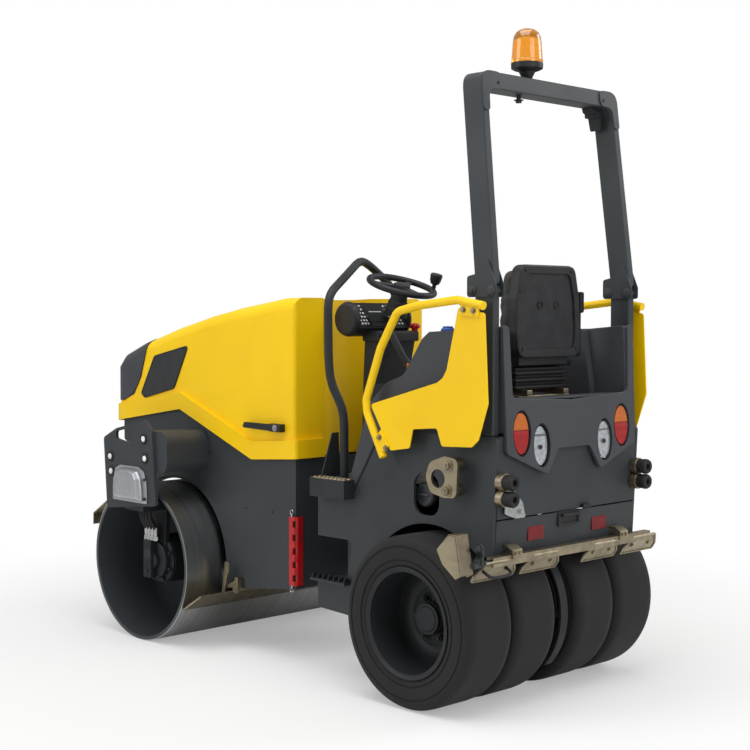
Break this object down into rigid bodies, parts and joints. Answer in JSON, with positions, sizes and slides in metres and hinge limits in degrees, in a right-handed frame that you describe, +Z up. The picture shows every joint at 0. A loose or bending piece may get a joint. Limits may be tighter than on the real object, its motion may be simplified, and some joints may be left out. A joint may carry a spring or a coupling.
{
  "type": "combination tandem roller",
  "caption": "Articulated combination roller with a smooth steel drum in front, smooth tyres behind, a tilting hood, folding roll-over bar and open driver's place.",
  "frame": {"origin": "on the floor under the middle of the whole machine", "axes": "+Z up, front towards -Y, the machine's left side towards +X"},
  "size_m": [1.36, 2.6064, 2.601],
  "materials": {
    "frame_grey": "satin",
    "yellow": "gloss",
    "black_metal": "satin",
    "zinc": "satin",
    "drum_steel": "polished",
    "tyre": "matte",
    "plastic_grey": "matte",
    "plastic_black": "matte",
    "seat_vinyl": "matte",
    "rubber": "matte",
    "hose": "satin",
    "red": "gloss",
    "silver": "satin",
    "lamp_red": "gloss",
    "lamp_clear": "gloss",
    "amber": "gloss",
    "engine": "matte"
  },
  "bodies": {
    "rear_frame": {"side_panels": "frame_grey", "rear_plate": "frame_grey", "platform": "black_metal", "front_wall": "frame_grey", "seat_box": "plastic_grey", "wheel_carrier": "frame_grey", "hinge_block": "frame_grey", "consoles": "plastic_grey", "steering_column": "black_metal", "instrument_pod": "plastic_black", "grab_rail": "frame_grey", "gas_strut": "black_metal", "seat_rails": "zinc", "rear_cover": "plastic_grey", "tail_lamps": "lamp_red", "work_lamps": "lamp_clear", "rear_lugs": "zinc", "rear_buffers": "rubber", "tyre_scrapers": "zinc", "side_guards": "yellow", "guard_tubes": "yellow", "rops_feet": "frame_grey"},
    "front_frame": {"hinge_yoke": "frame_grey", "front_panels": "frame_grey", "front_walls": "frame_grey", "carrier_arms": "frame_grey", "drum_plates": "frame_grey", "drum_covers": "silver", "drum_hangers": "black_metal", "drum_hoses": "hose", "drum_scrapers": "zinc", "lock_bar": "red", "engine_block": "engine"},
    "drum": {"drum_shell": "drum_steel", "drum_discs": "black_metal"},
    "hood": {"hood": "yellow", "nose_panel": "plastic_grey", "hood_grilles": "plastic_black", "hood_latches": "plastic_black"},
    "wheels_left": {"tyre_left_inner": "tyre", "tyre_left_outer": "tyre", "rims_left": "black_metal"},
    "wheels_right": {"tyre_right_inner": "tyre", "tyre_right_outer": "tyre", "rims_right": "black_metal"},
    "rops": {"rops_frame": "frame_grey", "beacon_base": "plastic_black", "beacon_dome": "amber"},
    "steering_wheel": {"steering_wheel": "plastic_black"},
    "seat": {"seat_base": "black_metal", "seat_cushion": "seat_vinyl", "seat_back": "seat_vinyl"},
    "cylinder_barrel": {"cylinder_barrel": "black_metal"},
    "cylinder_rod": {"cylinder_rod": "drum_steel"}
  },
  "joints": [
    {"name": "steer", "type": "hinge", "parent": "rear_frame", "child": "front_frame", "pos_m": [0, 0.1875, 0.5], "axis": [0, 0, 1], "range_deg": [-27, 27]},
    {"name": "drum_spin", "type": "hinge", "parent": "front_frame", "child": "drum", "pos_m": [0, -0.7855, 0.36], "axis": [1, 0, 0], "continuous": true},
    {"name": "hood_tilt", "type": "hinge", "parent": "front_frame", "child": "hood", "pos_m": [0, -1.2525, 0.985], "axis": [1, 0, 0], "range_deg": [0, 50]},
    {"name": "wheels_left_spin", "type": "hinge", "parent": "rear_frame", "child": "wheels_left", "pos_m": [0.3, 0.8975, 0.332], "axis": [1, 0, 0], "continuous": true},
    {"name": "wheels_right_spin", "type": "hinge", "parent": "rear_frame", "child": "wheels_right", "pos_m": [-0.3, 0.8975, 0.332], "axis": [1, 0, 0], "continuous": true},
    {"name": "rops_fold", "type": "hinge", "parent": "rear_frame", "child": "rops", "pos_m": [0, 1.2055, 1.585], "axis": [-1, 0, 0], "range_deg": [0, 110]},
    {"name": "steering_wheel_turn", "type": "hinge", "parent": "rear_frame", "child": "steering_wheel", "pos_m": [0, 0.3135, 1.62], "axis": [0, 0.309, 0.9511], "continuous": true},
    {"name": "seat_slide", "type": "slide", "parent": "rear_frame", "child": "seat", "axis": [1, 0, 0], "range_m": [-0.07, 0.07]},
    {"name": "cylinder_swing", "type": "hinge", "parent": "rear_frame", "child": "cylinder_barrel", "pos_m": [-0.18, 0.5375, 0.5], "axis": [0, 0, 1], "range_deg": [-5, 5]},
    {"name": "rod_slide", "type": "slide", "parent": "cylinder_barrel", "child": "cylinder_rod", "axis": [0, -1, 0], "range_m": [-0.085, 0.085]}
  ],
  "couplings": [
    {"joint": "cylinder_swing", "follows": "steer", "ratio": 0.16},
    {"joint": "rod_slide", "follows": "steer", "m_per_rad": 0.176}
  ]
}
